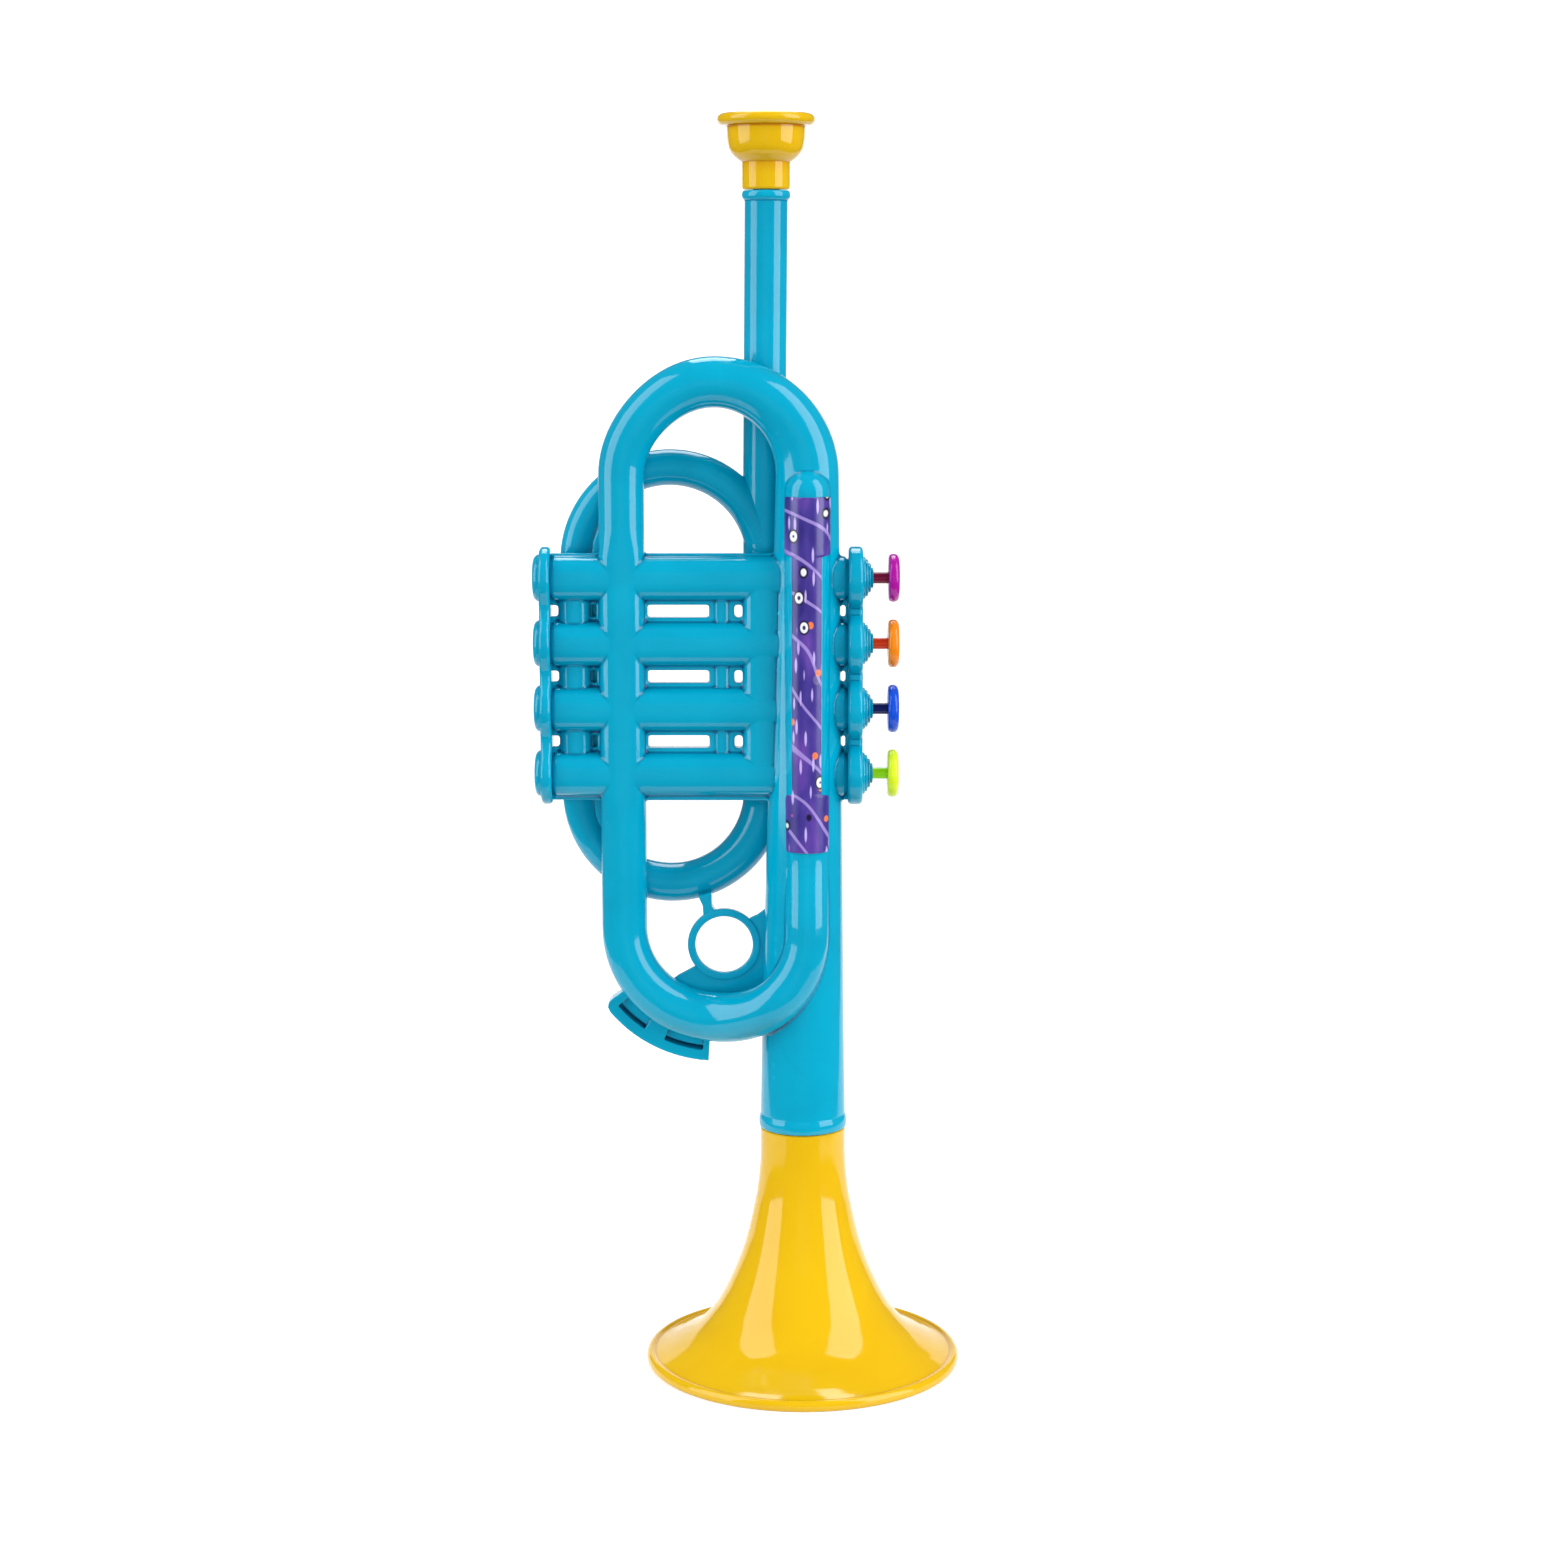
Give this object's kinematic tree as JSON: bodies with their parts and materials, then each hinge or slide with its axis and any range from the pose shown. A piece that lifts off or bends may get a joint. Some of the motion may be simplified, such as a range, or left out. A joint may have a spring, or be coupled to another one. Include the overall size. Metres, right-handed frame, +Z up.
{
  "type": "toy trumpet",
  "caption": "Moulded toy trumpet standing on its bell: looped tube body with a block of casings, sprung coloured push keys, flared bell, mouthpiece and finger ring.",
  "frame": {"origin": "on the surface it stands on, at the centre of the overall box, 18.15 mm to the left of the bell's axis", "axes": "+Z up, +X towards the key buttons, -Y towards the front with the label, +Y towards the back loop"},
  "size_m": [0.1432, 0.107, 0.4204],
  "materials": {
    "cyan": "glossy moulded plastic",
    "yellow": "glossy moulded plastic",
    "label_film": "printed film",
    "steel": "plated steel",
    "rubber": "soft rubber",
    "cream": "unpainted moulded plastic",
    "brass": "rolled brass",
    "lime_button": "glossy moulded plastic",
    "lime_rod": "glossy moulded plastic",
    "blue_button": "glossy moulded plastic",
    "blue_rod": "glossy moulded plastic",
    "orange_button": "glossy moulded plastic",
    "orange_rod": "glossy moulded plastic",
    "magenta_button": "glossy moulded plastic",
    "magenta_rod": "glossy moulded plastic"
  },
  "bodies": {
    "horn": {"front_shell": "cyan", "rear_shell": "cyan", "lead_pipe": "cyan", "back_loop": "cyan", "end_plate": "cyan", "key_plate": "cyan", "bell": "yellow", "mouthpiece": "yellow", "label": "label_film", "screw_1": "steel", "screw_2": "steel", "screw_3": "steel", "key_spring_1": "steel", "reed_cell_1": "cream", "reed_1": "brass", "key_spring_2": "steel", "reed_cell_2": "cream", "reed_2": "brass", "key_spring_3": "steel", "reed_cell_3": "cream", "reed_3": "brass", "key_spring_4": "steel", "reed_cell_4": "cream", "reed_4": "brass"},
    "key_1": {"key_button_1": "lime_button", "key_rod_1": "lime_rod", "key_pad_1": "rubber"},
    "key_2": {"key_button_2": "blue_button", "key_rod_2": "blue_rod", "key_pad_2": "rubber"},
    "key_3": {"key_button_3": "orange_button", "key_rod_3": "orange_rod", "key_pad_3": "rubber"},
    "key_4": {"key_button_4": "magenta_button", "key_rod_4": "magenta_rod", "key_pad_4": "rubber"}
  },
  "joints": [
    {"name": "key_1_press", "type": "slide", "parent": "horn", "child": "key_1", "axis": [-1, 0, 0], "range_m": [0, 0.004], "stiffness_N_per_m": 150, "springref_m": -0.001, "deforming": ["key_spring_1"]},
    {"name": "key_2_press", "type": "slide", "parent": "horn", "child": "key_2", "axis": [-1, 0, 0], "range_m": [0, 0.004], "stiffness_N_per_m": 150, "springref_m": -0.001, "deforming": ["key_spring_2"]},
    {"name": "key_3_press", "type": "slide", "parent": "horn", "child": "key_3", "axis": [-1, 0, 0], "range_m": [0, 0.004], "stiffness_N_per_m": 150, "springref_m": -0.001, "deforming": ["key_spring_3"]},
    {"name": "key_4_press", "type": "slide", "parent": "horn", "child": "key_4", "axis": [-1, 0, 0], "range_m": [0, 0.004], "stiffness_N_per_m": 150, "springref_m": -0.001, "deforming": ["key_spring_4"]}
  ]
}
